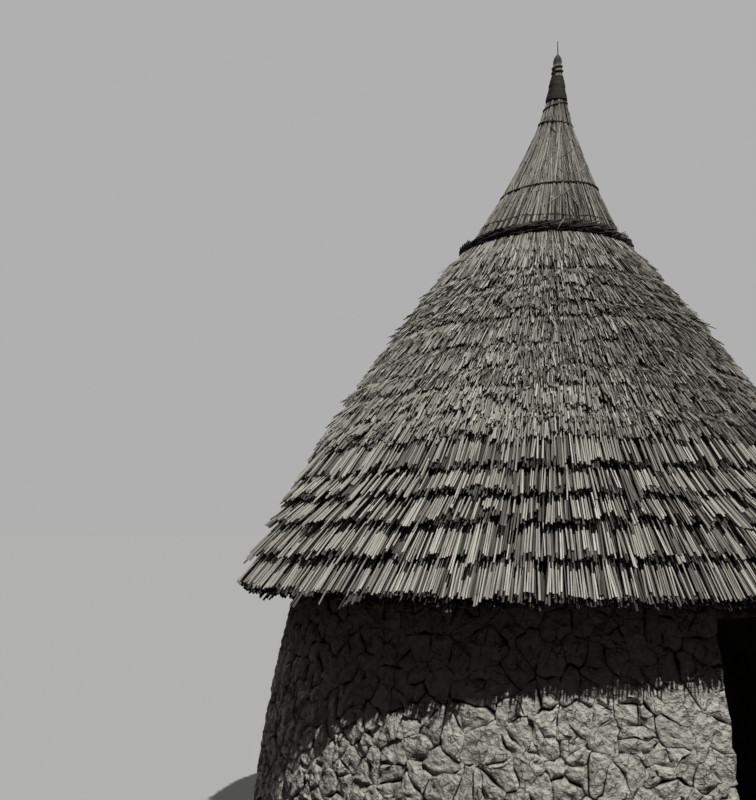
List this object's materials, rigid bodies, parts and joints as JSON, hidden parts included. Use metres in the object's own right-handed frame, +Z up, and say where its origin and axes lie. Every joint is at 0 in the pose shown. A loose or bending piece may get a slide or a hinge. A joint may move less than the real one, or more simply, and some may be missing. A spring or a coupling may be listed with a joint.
{
  "type": "rondavel hut",
  "caption": "Round mud hut with an open doorway and a steep conical thatched roof tied into a leaning straw spire.",
  "frame": {"origin": "on the hut's axis at ground level, which is the bottom centre of its bounding box", "axes": "+Z up along the hut's axis, the doorway faces -Y"},
  "size_m": [4.3854, 4.3854, 5.7402],
  "materials": {
    "mud_wall": "sun-dried mud, cracked",
    "beaten_earth": "beaten earth, matte",
    "weathered_thatch": "weathered grass and stalks",
    "cap_straw": "weathered long straw",
    "straw_rope": "dark twisted straw rope",
    "withies": "bark on bent sticks",
    "bush_poles": "round bush poles, smoke darkened"
  },
  "bodies": {
    "root": {"cap_rope": "straw_rope", "cap_thatch": "cap_straw", "cap_tie_1": "straw_rope", "cap_tie_2": "straw_rope", "cap_tie_3": "straw_rope", "crown_ring": "withies", "door_lintel": "bush_poles", "door_sill": "mud_wall", "earth_floor": "beaten_earth", "finial_stick": "bush_poles", "neck_binding": "straw_rope", "rafters_long": "bush_poles", "rafters_short": "bush_poles", "roof_hoop_1": "withies", "roof_hoop_2": "withies", "roof_hoop_3": "withies", "roof_hoop_4": "withies", "roof_hoop_5": "withies", "roof_hoop_6": "withies", "thatch_course_01": "weathered_thatch", "thatch_course_02": "weathered_thatch", "thatch_course_03": "weathered_thatch", "thatch_course_04": "weathered_thatch", "thatch_course_05": "weathered_thatch", "thatch_course_06": "weathered_thatch", "thatch_course_07": "weathered_thatch", "thatch_course_08": "weathered_thatch", "thatch_course_09": "weathered_thatch", "thatch_course_10": "weathered_thatch", "thatch_course_11": "weathered_thatch", "thatch_course_12": "weathered_thatch", "thatch_course_13": "weathered_thatch", "thatch_course_14": "weathered_thatch", "tip_cord": "straw_rope", "wall_over_door": "mud_wall", "wall_plate": "bush_poles", "wall_segment_01": "mud_wall", "wall_segment_02": "mud_wall", "wall_segment_03": "mud_wall", "wall_segment_04": "mud_wall", "wall_segment_05": "mud_wall", "wall_segment_06": "mud_wall", "wall_segment_07": "mud_wall", "wall_segment_08": "mud_wall", "wall_segment_09": "mud_wall"}
  },
  "joints": []
}
